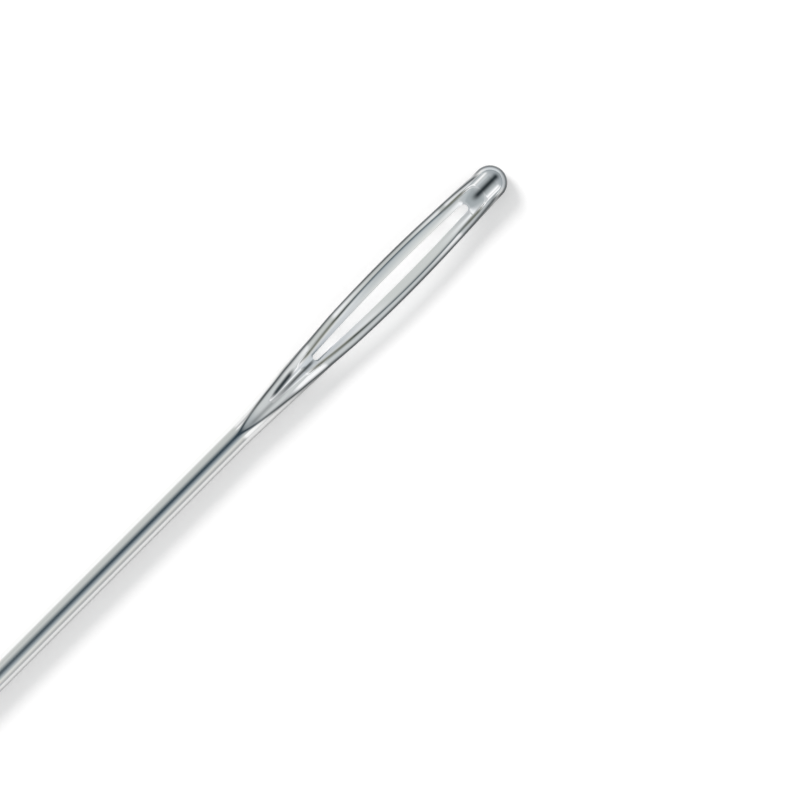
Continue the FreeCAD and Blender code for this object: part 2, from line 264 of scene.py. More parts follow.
def zone(points, radii):
    """A line through points whose inner corners are rounded, as a function of X."""
    points = [Vector(point) for point in points]
    arcs = []
    for before, here, after, radius in zip(points, points[1:], points[2:], radii):
        enter = (here - before).normalized()
        leave = (after - here).normalized()
        turn = enter.x * leave.y - enter.y * leave.x
        reach = radius * math.tan(math.asin(turn) / 2)
        side = math.copysign(1.0, turn)
        first = here - enter * abs(reach)
        last = here + leave * abs(reach)
        centre = first + Vector((-enter.y, enter.x)) * radius * side
        arcs.append((first.x, last.x, centre, radius, side))
    xs = np.array([point.x for point in points])
    ys = np.array([point.y for point in points])

    def height(x):
        value = np.interp(x, xs, ys)
        for first, last, centre, radius, side in arcs:
            inside = (x > first) & (x < last)
            drop = np.sqrt(np.maximum(radius ** 2 - (x - centre.x) ** 2, 0.0))
            value = np.where(inside, centre.y - side * drop, value)
        return value

    return height


class Oval:
    """A long oval of four tangent arcs, symmetrical about the needle's axis."""

    def __init__(self, foot, crown, half, foot_radius, crown_radius):
        self.foot = foot + foot_radius
        self.crown = crown - crown_radius
        self.foot_radius = foot_radius
        self.crown_radius = crown_radius
        span = self.crown - self.foot
        roots = math.sqrt(half - foot_radius) + math.sqrt(half - crown_radius)
        side = span ** 2 / (2 * roots ** 2)
        for _ in range(20):
            total = self.reach(side, half, foot_radius) + self.reach(side, half, crown_radius)
            side *= (span / total) ** 2
        self.side = side
        self.middle = self.foot + self.reach(side, half, foot_radius)
        self.centre = half - side
        self.ends = (foot, crown)

    @staticmethod
    def reach(side, half, end_radius):
        """How far the centre of an end's arc lies from the oval's widest place."""
        return math.sqrt((half - end_radius) * (2 * side - end_radius - half))

    def distance(self, x, y):
        """How far points lie outside the oval, or inside it if negative."""
        y = np.abs(y)
        over = y - self.centre
        lean = (x - self.middle) / over
        to_foot = (self.foot - self.middle) / -self.centre
        to_crown = (self.crown - self.middle) / -self.centre
        out = np.hypot(x - self.middle, over) - self.side
        out = np.where(lean < to_foot, np.hypot(x - self.foot, y) - self.foot_radius, out)
        return np.where(lean > to_crown, np.hypot(x - self.crown, y) - self.crown_radius, out)

    def half_width(self, x):
        """The oval's half width at places along X, 0 beyond its ends."""
        low = np.zeros_like(x)
        high = np.full_like(x, self.side + self.centre)
        inside = (x > self.ends[0]) & (x < self.ends[1])
        for _ in range(60):
            middle = (low + high) / 2
            within = self.distance(x, middle) < 0
            low = np.where(within, middle, low)
            high = np.where(within, high, middle)
        return np.where(inside, (low + high) / 2, 0.0)


def softer(first, second, blend):
    """The lower of two heights, rounded where they meet."""
    near = np.maximum(blend - np.abs(first - second), 0.0) / blend
    return np.minimum(first, second) - near * near * blend / 4


def wider(first, second, blend):
    """The greater of two widths, rounded where they meet."""
    return -softer(-first, -second, blend)


def smooth_step(low, high, value):
    """0 below the low end, 1 above the high end, and a soft climb between."""
    share = np.clip((value - low) / (high - low), 0.0, 1.0)
    return share * share * (3.0 - 2.0 * share)


def change(name, place, x):
    """A soft climb from 0 to 1 over one of the spans, measured from its place along X."""
    low, high = SPANS[name]
    return smooth_step(place + low * MM, place + high * MM, x)


def between(ends, share):
    """The value that lies a share of the way between two."""
    return ends[0] + (ends[1] - ends[0]) * share


def quick_slope(distance, slope, reach):
    """How far a surface has dropped at a distance from its crest, when it starts level and takes
    up its slope within a short reach."""
    distance = np.maximum(distance, 0.0)
    return slope * (distance - reach * (1.0 - np.exp(-distance / reach)))


class Head:
    """The form of the needle: its outline along X and the height of its upper face."""

    def __init__(self, sizes):
        self.sizes = sizes
        end = sizes.full_length / 2
        self.end = end
        self.centre = end - sizes.end_radius
        run = sizes.crown - sizes.end_radius
        fall = math.atan(sizes.crown_radius / run)
        fall -= math.asin(sizes.end_radius / math.hypot(run, sizes.crown_radius))
        self.join = self.centre + sizes.end_radius * math.sin(fall)
        join_height = sizes.end_radius * math.cos(fall)
        shoulder = end - sizes.shoulder
        waist = end - sizes.waist
        self.start = end - sizes.ramp_start
        self.flanks = zone(
            [(-end, sizes.shank_radius), (shoulder, sizes.shank_radius),
             (waist, sizes.waist_radius), (end - sizes.foot, sizes.foot_radius),
             (end - sizes.crown, sizes.crown_radius), (self.join, join_height)],
            [sizes.small_blend, sizes.small_blend, sizes.small_blend, sizes.crown_blend])
        drop = sizes.shank_radius - sizes.flat_height
        level = self.start + drop / math.tan(sizes.ramp_angle)
        rise = sizes.end_ramp * math.tan(sizes.end_ramp_angle)
        self.flat = zone(
            [(-end, sizes.shank_radius), (self.start, sizes.shank_radius),
             (level, sizes.flat_height), (end - sizes.end_ramp, sizes.flat_height),
             (end, sizes.flat_height + rise)],
            [sizes.ramp_onset, sizes.ramp_blend, sizes.ramp_blend])
        self.first = self.start - sizes.ramp_onset * math.tan(sizes.ramp_angle / 2)
        half = sizes.eye_width / 2
        foot = end - sizes.eye_end - sizes.eye_length
        crown = end - sizes.eye_end
        self.eye = Oval(foot, crown, half, sizes.eye_foot, sizes.eye_crown)
        self.bevel = Oval(foot - sizes.bevel_foot, crown + sizes.bevel_crown,
                          half + sizes.bevel_side, sizes.bevel_foot_end, sizes.bevel_crown_end)
        self.gutter_ends = (foot - sizes.gutter_length, foot + 2 * sizes.eye_foot)
        self.trough_start = crown - sizes.eye_crown / 2
        self.trough_turn = end - sizes.trough_end - sizes.trough_width / 2

    def radius(self, x):
        """Half width of the outline, from the shank to the round end."""
        cap = np.sqrt(np.maximum(self.sizes.end_radius ** 2 - (x - self.centre) ** 2, 0.0))
        return np.where(x > self.join, cap, self.flanks(x))

    def gutter(self, x):
        """Half width and depth of the long gutter."""
        sizes = self.sizes
        half = np.interp(x, self.gutter_ends, [sizes.gutter_start_width / 2, sizes.gutter_width / 2])
        depth = np.interp(x, self.gutter_ends, [sizes.gutter_start_depth, sizes.gutter_depth])
        return half, depth

    def floor(self, half, depth, across, beyond):
        """How far a round-bottomed channel is sunk, less its climb beyond its ends."""
        bend = (half ** 2 + depth ** 2) / (2 * depth)
        inside = np.minimum(np.abs(across), bend * 0.999)
        return depth - bend + np.sqrt(bend ** 2 - inside ** 2) - beyond * self.sizes.channel_climb

    def gutter_floor(self, x, y):
        """The long gutter, which deepens towards the eye and climbs out beyond its ends."""
        half, depth = self.gutter(x)
        beyond = np.maximum(self.gutter_ends[0] - x, x - self.gutter_ends[1])
        return self.flat(x) - self.floor(half, depth, y, np.maximum(beyond, 0.0))

    def trough_floor(self, x, y):
        """The short gutter behind the eye, with a round end."""
        half = self.sizes.trough_width / 2
        across = np.hypot(y, np.maximum(x - self.trough_turn, 0.0))
        beyond = np.maximum(self.trough_start - x, 0.0)
        return self.flat(x) - self.floor(half, self.sizes.trough_depth, across, beyond)

    def crest_line(self, x):
        """Half width of what is sunk into the flat: the long gutter, then the bevel, then the short
        gutter, with soft turns between them."""
        sizes = self.sizes
        half = sizes.trough_width / 2
        ahead = np.maximum(x - self.trough_turn, 0.0)
        trough = np.sqrt(np.maximum(half ** 2 - ahead ** 2, 0.0))
        trough = trough * smooth_step(self.eye.middle, self.trough_start, x)
        channel = np.where(x < self.eye.middle, sizes.gutter_width / 2, trough)
        return wider(self.bevel.half_width(x), channel, CREST_TURN)

    def land(self, x, y):
        """The flat, which falls away outwards from the edge of the bevel or gutter beside it."""
        sizes = self.sizes
        outside = np.abs(y) - self.crest_line(x)
        near_foot = change("foot_land", self.gutter_ends[0], x)
        beside_eye = change("bar_land", self.eye.ends[0], x)
        steep = between((sizes.ramp_land, sizes.foot_land), near_foot)
        steep = steep + (sizes.bar_land - sizes.foot_land) * beside_eye
        return self.flat(x) - quick_slope(outside, steep, sizes.crest_round)

    def bevel_floor(self, x, y):
        """The bevel: a quick turn off its crest, then a slope that steepens down to the eye."""
        sizes = self.sizes
        outside_eye = np.maximum(self.eye.distance(x, y), 0.0)
        edge = self.bevel.distance(x, y)
        inside = np.maximum(-edge, 0.0)
        width = outside_eye + inside
        drop = sizes.flat_height - sizes.eye_wall / 2
        first = quick_slope(inside, sizes.bevel_slope, sizes.crest_round)
        whole = quick_slope(width, sizes.bevel_slope, sizes.crest_round)
        rest = (drop - whole) * (inside / np.maximum(width, 1e-9)) ** 2
        return sizes.flat_height - first - rest + np.maximum(edge, 0.0)

    def face(self, x, y):
        """Height of the upper face above the needle's middle plane."""
        sizes = self.sizes
        round_side = np.sqrt(np.maximum(self.radius(x) ** 2 - y ** 2, 0.0))
        pressed = softer(round_side, self.land(x, y), sizes.corner_round * self.onset(x))
        height = np.where(x > self.first, pressed, round_side)
        height = softer(height, self.bevel_floor(x, y), BEVEL_ROUND)
        height = softer(height, self.gutter_floor(x, y), GUTTER_ROUND)
        return softer(height, self.trough_floor(x, y), TROUGH_ROUND)

    def onset(self, x):
        """Grows from almost nothing where the flat starts to 1 well down the ramp."""
        return between((CORNER_AT_START, 1.0), smooth_step(self.first, self.start + 1.5 * MM, x))

    def creases(self, x, y):
        """Painted shade along the corner between the pressed flat and the round side: a dark line
        that stands in for the corner's dark reflection and moves out to the very edge round the
        head's end."""
        radius = self.radius(x)
        land = self.land(x, y)
        corner = np.sqrt(np.maximum(radius ** 2 - land ** 2, 0.0))
        off = (np.abs(y) - corner) / self.sizes.crease_width
        line = np.exp(-off ** 2) * (radius > land)
        line = line * smooth_step(self.first + 0.2 * MM, self.start + 0.3 * MM, x)
        line = line * between(CREASE_SHARES, change("crease_grows", self.start, x))
        at_end = change("edge_darkens", self.centre, x)
        inside = self.sizes.end_radius - np.hypot(np.maximum(x - self.centre, 0.0), y)
        inside = np.maximum(inside, 0.0)
        edge = 0.0
        for strength, reach in (EDGE_LINE, EDGE_HALO):
            edge = edge + strength * np.exp(-(inside / reach) ** 4)
        return between((line, np.minimum(edge, 1.0)), at_end)

    def crests(self, x, y):
        """Painted shade along the crest of the bevel, a dull line that stands in for its dark
        reflection, strongest at its two ends.
        """
        foot, crown = self.bevel.ends
        near_crown = np.abs(y) - self.crest_line(x)
        off = np.where(x > self.eye.middle, near_crown, self.bevel.distance(x, y))
        off = off / (CREST_WIDTH * self.sizes.crease_width)
        fade = change("crest_starts", foot, x) * (1.0 - change("crest_stops", crown, x))
        middle = change("crest_weakens", foot, x) * (1.0 - change("crest_recovers", crown, x))
        return np.exp(-off ** 2) * fade * (1.0 - CREST_LOSS * middle)

    def pressed(self, x, y):
        """Where the faces are pressed, which the steel's colour paints brighter than the drawn wire
        as a painted sheen.
        """
        corner = np.sqrt(np.maximum(self.radius(x) ** 2 - self.land(x, y) ** 2, 0.0))
        return smooth_step(-0.03 * MM, 0.03 * MM, corner - np.abs(y)) * (x > self.first)

    def dimming_shade(self, x, y):
        """Painted shade that dims the steel's reflections: on the walls of the long gutter, the
        bevel round the eye's two ends, and both ends of the pressed face."""
        foot, crown = self.eye.ends
        # The painted shade reaches further from the eye's foot on the key's side.
        run = np.where(y > 0.0, DIMMING_KEY_SIDE, DIMMING_FAR_SIDE)
        near_foot = DIMMING_FOOT * (1.0 - smooth_step(foot + 0.5 * MM, foot + run, x))
        near_crown = DIMMING_CROWN * change("crown_dimming", crown, x)
        in_bevel = smooth_step(0.0, 0.2 * MM, -self.bevel.distance(x, y))
        in_bevel = in_bevel * np.maximum(near_foot, near_crown)
        near_end = DIMMING_END * change("end_dimming", self.end, x)
        at_start = DIMMING_START * (1.0 - change("start_dimming", self.start, x)) * self.pressed(x, y)
        half = self.gutter(x)[0]
        away = np.abs(y)
        wall = smooth_step(0.07 * MM, 0.16 * MM, away)
        wall = wall * (1.0 - smooth_step(half - 0.09 * MM, half, away))
        wall = DIMMING_WALL * wall * change("wall_dimming", self.gutter_ends[0], x) * (x < foot)
        return np.maximum.reduce([in_bevel, wall, near_end, at_start])

    def painted_shade(self, x, y):
        """Painted shade in the gutters: a wedge beside the long one's middle, a streak down its
        floor and a dark core in the short one."""
        first, last = self.gutter_ends
        along = (x - first) / (last - first)
        grown = {name: smooth_step(*ends, along) for name, ends in GUTTER_SPANS.items()}
        off = y - between(WEDGE_PLACE, np.clip(along, 0.0, 1.0))
        wedge = np.exp(-(np.abs(off) / between(WEDGE_WIDTH, grown["wedge_widens"])) ** 3)
        wedge = wedge * grown["wedge_starts"] * (1.0 - grown["wedge_stops"])
        off = y - between(STREAK_PLACE, grown["streak_narrows"])
        streak = np.exp(-(off / between(STREAK_WIDTH, grown["streak_narrows"])) ** 2)
        streak = streak * between(STREAK_SHARES, grown["streak_darkens"])
        streak = streak * (1.0 - grown["streak_stops"]) * change("streak_starts", self.start, x)
        core = np.exp(-(np.abs(y) / CORE_WIDTH) ** 2.2)
        core = core * change("core_starts", self.trough_start, x)
        core = core * (1.0 - change("core_stops", self.end - self.sizes.trough_end, x))
        return np.maximum.reduce([WEDGE_SHADE * wedge, STREAK_SHADE * streak, CORE_SHADE * core])


def point_profile(sizes):
    """The outline of the turned end, from the tip to the full wire, as places and radii."""
    tip = -sizes.full_length / 2
    slope = sizes.cone_angle
    nose = sizes.nose_radius
    turns = np.linspace(0.0, math.pi / 2 - slope, 9)
    xs = [tip + nose * (1 - math.cos(turn)) for turn in turns]
    rs = [nose * math.sin(turn) for turn in turns]
    cone_end = xs[-1] + (sizes.cone_radius - rs[-1]) / math.tan(slope)
    full = tip + sizes.taper
    rise = sizes.shank_radius - sizes.cone_radius
    bow = ((full - cone_end) ** 2 + rise ** 2) / (2 * rise)
    taper_slope = math.atan2(full - cone_end, bow - rise)
    reach = sizes.cone_blend * math.tan((slope - taper_slope) / 2)
    first = cone_end - reach * math.cos(slope)
    xs += list(np.linspace(xs[-1], first, 10)[1:])
    rs += list(np.linspace(rs[-1], sizes.cone_radius - reach * math.sin(slope), 10)[1:])
    centre_x = first + sizes.cone_blend * math.sin(slope)
    centre_r = rs[-1] - sizes.cone_blend * math.cos(slope)
    for turn in np.linspace(slope, taper_slope, 9)[1:]:
        xs.append(centre_x - sizes.cone_blend * math.sin(turn))
        rs.append(centre_r + sizes.cone_blend * math.cos(turn))
    for x in np.linspace(xs[-1], full, 60)[1:]:
        xs.append(x)
        rs.append(sizes.shank_radius - bow + math.sqrt(bow ** 2 - (full - x) ** 2))
    return np.array(xs), np.array(rs)


def head_stations(head):
    """Places along X for the head's sections, closer where its form turns quickly."""
    sizes = head.sizes
    foot, crown = head.eye.ends
    turns = np.linspace(0.0, math.pi / 2, 12)
    near_foot = foot + sizes.eye_foot * (1 - np.cos(turns))
    near_crown = crown - sizes.eye_crown * (1 - np.cos(turns[::-1]))
    cap = head.centre + sizes.end_radius * np.sin(np.linspace(0.03, math.pi / 2, 44))
    step = STATION_STEP
    spans = [
        np.arange(head.first, foot - step / 2, step),
        near_foot,
        np.arange(near_foot[-1] + step, near_crown[0] - step / 2, step),
        near_crown,
        np.arange(crown + step / 2, cap[0] - step / 2, step / 2),
        cap,
    ]
    return np.concatenate(spans)


def grid_faces(rows, columns, start, flip):
    """The quads of a grid of vertices whose first one has the index start."""
    faces = []
    for row in range(rows - 1):
        for column in range(columns - 1):
            corner = start + row * columns + column
            face = (corner, corner + columns, corner + columns + 1, corner + 1)
            faces.append(face[::-1] if flip else face)
    return faces


def needle_mesh(sizes):
    """The whole needle as four quarter sheets and the two walls of the eye."""
    head = Head(sizes)
    turned_x, turned_r = point_profile(sizes)
    straight = np.linspace(turned_x[-1], head.first, 24)[1:-1]
    stations = head_stations(head)
    xs = np.concatenate([turned_x, straight, stations])
    radii = np.concatenate([turned_r, np.full(len(straight), sizes.shank_radius),
                            head.radius(stations)])
    inner = head.eye.half_width(xs)
    middle = sizes.shank_radius
    vertices = []
    faces = []
    # The painted sheen and the painted shade, kept on the mesh's vertices.
    marks = {"pressed": [], "dimming_shade": [], "crest": [], "crease": [], "painted_shade": []}
    for side in (1, -1):
        for up, count in ((1, UPPER_COLUMNS), (-1, LOWER_COLUMNS)):
            spread = np.sin(np.linspace(0.0, math.pi / 2, count))
            y = inner[:, None] + (radii - inner)[:, None] * spread[None, :]
            x = np.repeat(xs[:, None], count, axis=1)
            turned = np.sqrt(np.maximum(radii[:, None] ** 2 - y ** 2, 0.0))
            z = np.where(x > head.first, head.face(x, y), turned)
            z[:, -1] = 0.0
            marks["pressed"].extend(head.pressed(x, y).reshape(-1))
            marks["dimming_shade"].extend(head.dimming_shade(x, y * side).reshape(-1))
            marks["crease"].extend(head.creases(x, y).reshape(-1))
            marks["crest"].extend(head.crests(x, y).reshape(-1))
            marks["painted_shade"].extend(head.painted_shade(x, y * side).reshape(-1))
            start = len(vertices)
            sheet = np.stack([x, y * side, middle + z * up], axis=-1).reshape(-1, 3)
            vertices.extend(map(tuple, sheet))
            faces.extend(grid_faces(len(xs), count, start, flip=side * up > 0))
        hole = np.flatnonzero((xs >= head.eye.ends[0]) & (xs <= head.eye.ends[1]))
        wall_x = xs[hole]
        wall_y = inner[hole]
        top = head.face(wall_x, wall_y)
        levels = np.linspace(-1.0, 1.0, 5)
        start = len(vertices)
        x = np.repeat(wall_x[:, None], len(levels), axis=1)
        y = np.repeat(wall_y[:, None], len(levels), axis=1) * side
        z = middle + top[:, None] * levels[None, :]
        vertices.extend(map(tuple, np.stack([x, y, z], axis=-1).reshape(-1, 3)))
        for values in marks.values():
            values.extend(np.zeros(x.size))
        faces.extend(grid_faces(len(wall_x), len(levels), start, flip=side < 0))
    mesh = bpy.data.meshes.new("needle_polished")
    mesh.from_pydata(vertices, [], faces)
    for name, values in marks.items():
        attribute = mesh.attributes.new(name, "FLOAT", "POINT")
        attribute.data.foreach_set("value", np.array(values, dtype=np.float32))
    return mesh


def weld(mesh):
    """Join the sheets along their shared edges and drop what collapses at the tips."""
    work = bmesh.new()
    work.from_mesh(mesh)
    bmesh.ops.remove_doubles(work, verts=work.verts, dist=1e-7)
    bmesh.ops.dissolve_degenerate(work, edges=work.edges, dist=1e-8)
    bmesh.ops.recalc_face_normals(work, faces=work.faces)
    work.to_mesh(mesh)
    open_edges = sum(1 for edge in work.edges if not edge.is_manifold)
    work.free()
    if open_edges:
        raise RuntimeError(f"the needle's mesh has {open_edges} open edges")
    mesh.shade_smooth()
    mesh.set_sharp_from_angle(angle=SHARP_TURN)


def steel_material(finish):
    """Polished steel with fine lengthwise lines, tinted by the marks on the mesh: a painted sheen
    and painted shade.
    """
    material = bpy.data.materials.new("polished_steel")
    material.use_nodes = True
    nodes = material.node_tree.nodes
    links = material.node_tree.links
    steel = nodes["Principled BSDF"]
    steel.inputs["Metallic"].default_value = 1.0
    place = nodes.new("ShaderNodeTexCoord")
    stretch = nodes.new("ShaderNodeMapping")
    stretch.inputs["Scale"].default_value = POLISH_SCALE
    lines = nodes.new("ShaderNodeTexNoise")
    lines.inputs["Scale"].default_value = 1.0
    lines.inputs["Detail"].default_value = POLISH_DETAIL
    links.new(place.outputs["Object"], stretch.inputs["Vector"])
    links.new(stretch.outputs["Vector"], lines.inputs["Vector"])
    bump = nodes.new("ShaderNodeBump")
    bump.inputs["Strength"].default_value = finish.polish_depth
    bump.inputs["Distance"].default_value = POLISH_HEIGHT
    links.new(lines.outputs["Fac"], bump.inputs["Height"])
    links.new(bump.outputs["Normal"], steel.inputs["Normal"])
    gloss = nodes.new("ShaderNodeMapRange")
    gloss.inputs["To Min"].default_value = finish.roughness * (1.0 - GLOSS_SPREAD)
    gloss.inputs["To Max"].default_value = finish.roughness * (1.0 + GLOSS_SPREAD)
    links.new(lines.outputs["Fac"], gloss.inputs["Value"])
    links.new(gloss.outputs["Result"], steel.inputs["Roughness"])
    tint = finish.steel
    # The marks: a painted sheen on the pressed faces, and painted shade round the eye's ends, along
    # the crest, in the corners and in the gutters.
    shades = (
        ("pressed", finish.pressed, 1.0),
        ("dimming_shade", finish.dimming_shade, 1.0),
        ("crest", finish.crest, finish.crest_shade_share),
        ("crease", finish.painted_shade, finish.crease_shade_share),
        ("painted_shade", finish.painted_shade, 1.0),
    )
    for name, shade, share in shades:
        mark = nodes.new("ShaderNodeAttribute")
        mark.attribute_name = name
        amount = nodes.new("ShaderNodeMath")
        amount.operation = "MULTIPLY"
        amount.inputs[1].default_value = share
        links.new(mark.outputs["Fac"], amount.inputs[0])
        mix = nodes.new("ShaderNodeMix")
        mix.data_type = "RGBA"
        links.new(amount.outputs[0], mix.inputs["Factor"])
        if isinstance(tint, bpy.types.NodeSocket):
            links.new(tint, mix.inputs["A"])
        else:
            mix.inputs["A"].default_value = tint
        mix.inputs["B"].default_value = shade
        tint = mix.outputs["Result"]
    links.new(tint, steel.inputs["Base Color"])
    return material


class NEEDLE_OT_make(bpy.types.Operator):
    """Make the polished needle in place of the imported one"""

    bl_idname = "needle.make"
    bl_label = "Make Needle"

    def execute(self, context):
        mesh = needle_mesh(context.scene.needle_sizes)
        weld(mesh)
        mesh.materials.append(steel_material(context.scene.needle_finish))
        needle = bpy.data.objects.new("needle_polished", mesh)
        context.scene.collection.objects.link(needle)
        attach(needle, "root")
        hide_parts(NODE)
        return {"FINISHED"}


# What the steel mirrors, by the angle across the needle from straight up: negative on the far side
# from the key. AHEAD is seen straight across, TO_EYE_END where the steel slopes down towards the
# head's end, TO_POINT where it slopes down towards the point, and the last one where it does so
# steeply, as behind the eye.
AHEAD = (
    (-90.0, (0.56, 0.57, 0.58)),
    (-84.0, (0.42, 0.43, 0.44)),
    (-72.0, (0.41, 0.42, 0.42)),
    (-62.0, (0.60, 0.60, 0.58)),
    (-48.0, (0.70, 0.71, 0.69)),
    (-36.0, (0.47, 0.50, 0.51)),
    (-26.0, (0.32, 0.36, 0.39)),
    (-17.0, (0.18, 0.22, 0.25)),
    (-8.5, (0.075, 0.10, 0.12)),
    (0.0, (0.028, 0.05, 0.068)),
    (8.5, (0.085, 0.11, 0.13)),
    (17.0, (0.24, 0.27, 0.28)),
    (26.0, (0.40, 0.42, 0.42)),
    (36.0, (0.52, 0.54, 0.53)),
    (62.0, (0.55, 0.57, 0.56)),
    (74.0, (0.62, 0.63, 0.62)),
    (84.0, (0.85, 0.85, 0.85)),
    (90.0, (1.0, 1.0, 1.0)),
)
TO_EYE_END = (
    (-90.0, (0.62, 0.63, 0.64)),
    (-60.0, (0.78, 0.785, 0.79)),
    (-40.0, (0.85, 0.855, 0.86)),
    (-22.0, (0.87, 0.875, 0.88)),
    (-14.0, (0.56, 0.575, 0.58)),
    (-6.0, (0.47, 0.485, 0.49)),
    (0.0, (0.54, 0.56, 0.56)),
    (7.0, (0.55, 0.57, 0.565)),
    (14.0, (0.54, 0.555, 0.555)),
    (22.0, (0.62, 0.63, 0.63)),
    (38.0, (0.76, 0.77, 0.775)),
    (60.0, (0.70, 0.71, 0.72)),
    (90.0, (0.9, 0.9, 0.9)),
)
TO_POINT = (
    (-90.0, (0.62, 0.62, 0.63)),
    (-70.0, (0.96, 0.96, 0.96)),
    (-52.0, (1.0, 1.0, 1.0)),
    (-46.5, (0.82, 0.82, 0.82)),
    (-41.5, (0.53, 0.55, 0.555)),
    (-31.0, (0.49, 0.52, 0.53)),
    (-26.0, (0.39, 0.42, 0.43)),
    (0.0, (0.37, 0.40, 0.41)),
    (27.0, (0.41, 0.44, 0.45)),
    (33.0, (0.55, 0.57, 0.58)),
    (38.0, (0.77, 0.78, 0.79)),
    (43.0, (0.97, 0.97, 0.97)),
    (48.5, (0.66, 0.665, 0.67)),
    (54.0, (0.49, 0.495, 0.51)),
    (60.0, (0.62, 0.625, 0.635)),
    (68.0, (0.85, 0.85, 0.85)),
    (90.0, (0.9, 0.9, 0.9)),
)
STEEPLY_TO_POINT = (
    (-90.0, (0.50, 0.52, 0.53)),
    (90.0, (0.52, 0.54, 0.55)),
)
# The X part of the mirrored direction at which each set starts to show and at which it shows alone.
SLOPED_SETS = (
    (TO_EYE_END, 0.015, 0.05),
    (TO_POINT, -0.015, -0.05),
    (STEEPLY_TO_POINT, -0.25, -0.45),
)
STUDIO_LEVEL = 1.1

# The light on the table under the eye, as soft ovals: middle, reach, how much of the reach is even,
# and strength against the eye light.
EYE_SPOTS = (
    ((16.2 * MM, -0.5 * MM), (7.6 * MM, 1.6 * MM), 0.45, 1.0),
    ((16.4 * MM, 0.0), (7.2 * MM, 0.8 * MM), 0.7, 1.0 / 3.0),
    ((11.4 * MM, 0.0), (1.7 * MM, 0.6 * MM), 0.4, 0.5),
    ((21.4 * MM, 0.0), (1.5 * MM, 0.7 * MM), 0.4, 0.5),
)
# Half of the width over which the table's lift sets in, across the needle's axis, for mirrors.
LIFT_EDGE = 0.6 * MM


def colour_band(nodes, colours):
    """A colour ramp over the angle from -90 to 90 degrees."""
    ramp = nodes.new("ShaderNodeValToRGB")
    stops = ramp.color_ramp.elements
    while len(stops) < len(colours):
        stops.new(0.5)
    for stop, (across, value) in zip(stops, colours):
        stop.position = 0.5 + across / 180.0
        stop.color = (*value, 1.0)
    return ramp


def build_world():
    """A studio of colour bands that only mirrors see, and plain white for the camera."""
    world = bpy.data.worlds.new("studio")
    world.use_nodes = True
    nodes = world.node_tree.nodes
    links = world.node_tree.links
    nodes.clear()
    out = nodes.new("ShaderNodeOutputWorld")
    place = nodes.new("ShaderNodeTexCoord")
    split = nodes.new("ShaderNodeSeparateXYZ")
    links.new(place.outputs["Generated"], split.inputs[0])
    turn = nodes.new("ShaderNodeMath")
    turn.operation = "ARCTAN2"
    links.new(split.outputs["Y"], turn.inputs[0])
    links.new(split.outputs["Z"], turn.inputs[1])
    scale = nodes.new("ShaderNodeMapRange")
    scale.inputs["From Min"].default_value = -math.pi / 2
    scale.inputs["From Max"].default_value = math.pi / 2
    links.new(turn.outputs[0], scale.inputs["Value"])
    seen = colour_band(nodes, AHEAD)
    links.new(scale.outputs["Result"], seen.inputs["Fac"])
    seen = seen.outputs["Color"]
    for colours, first, full in SLOPED_SETS:
        beyond = colour_band(nodes, colours)
        links.new(scale.outputs["Result"], beyond.inputs["Fac"])
        share = nodes.new("ShaderNodeMapRange")
        share.interpolation_type = "SMOOTHSTEP"
        share.inputs["From Min"].default_value = first
        share.inputs["From Max"].default_value = full
        links.new(split.outputs["X"], share.inputs["Value"])
        mix = nodes.new("ShaderNodeMix")
        mix.data_type = "RGBA"
        links.new(share.outputs["Result"], mix.inputs["Factor"])
        links.new(seen, mix.inputs["A"])
        links.new(beyond.outputs["Color"], mix.inputs["B"])
        seen = mix.outputs["Result"]
    studio = nodes.new("ShaderNodeBackground")
    studio.inputs["Strength"].default_value = STUDIO_LEVEL
    links.new(seen, studio.inputs["Color"])
    white = nodes.new("ShaderNodeBackground")
    white.inputs["Color"].default_value = (1.0, 1.0, 1.0, 1.0)
    light_path = nodes.new("ShaderNodeLightPath")
    choose = nodes.new("ShaderNodeMixShader")
    links.new(light_path.outputs["Is Camera Ray"], choose.inputs[0])
    links.new(studio.outputs[0], choose.inputs[1])
    links.new(white.outputs[0], choose.inputs[2])
    links.new(choose.outputs[0], out.inputs["Surface"])
    return world


def eye_spot(material, place, middle, reach, core, strength):
    """A soft oval of light on the table under the eye, even over its core."""
    nodes = material.node_tree.nodes
    links = material.node_tree.links
    oval = nodes.new("ShaderNodeMapping")
    oval.vector_type = "TEXTURE"
    oval.inputs["Location"].default_value = (*middle, 0.0)
    oval.inputs["Scale"].default_value = (*reach, 1.0)
    links.new(place.outputs["Object"], oval.inputs["Vector"])
    distance = nodes.new("ShaderNodeVectorMath")
    distance.operation = "LENGTH"
    links.new(oval.outputs["Vector"], distance.inputs[0])
    fade = nodes.new("ShaderNodeMapRange")
    fade.interpolation_type = "SMOOTHSTEP"
    fade.inputs["From Min"].default_value = 1.0
    fade.inputs["From Max"].default_value = core
    fade.inputs["To Max"].default_value = strength
    links.new(distance.outputs["Value"], fade.inputs["Value"])
    return fade.outputs["Result"]


def product(material, first, second, plus=None):
    """A node that multiplies two values and may add a third."""
    node = material.node_tree.nodes.new("ShaderNodeMath")
    node.operation = "MULTIPLY_ADD"
    for socket, value in zip(node.inputs, (first, second, plus)):
        if isinstance(value, bpy.types.NodeSocket):
            material.node_tree.links.new(value, socket)
        else:
            socket.default_value = value or 0.0
    return node.outputs[0]


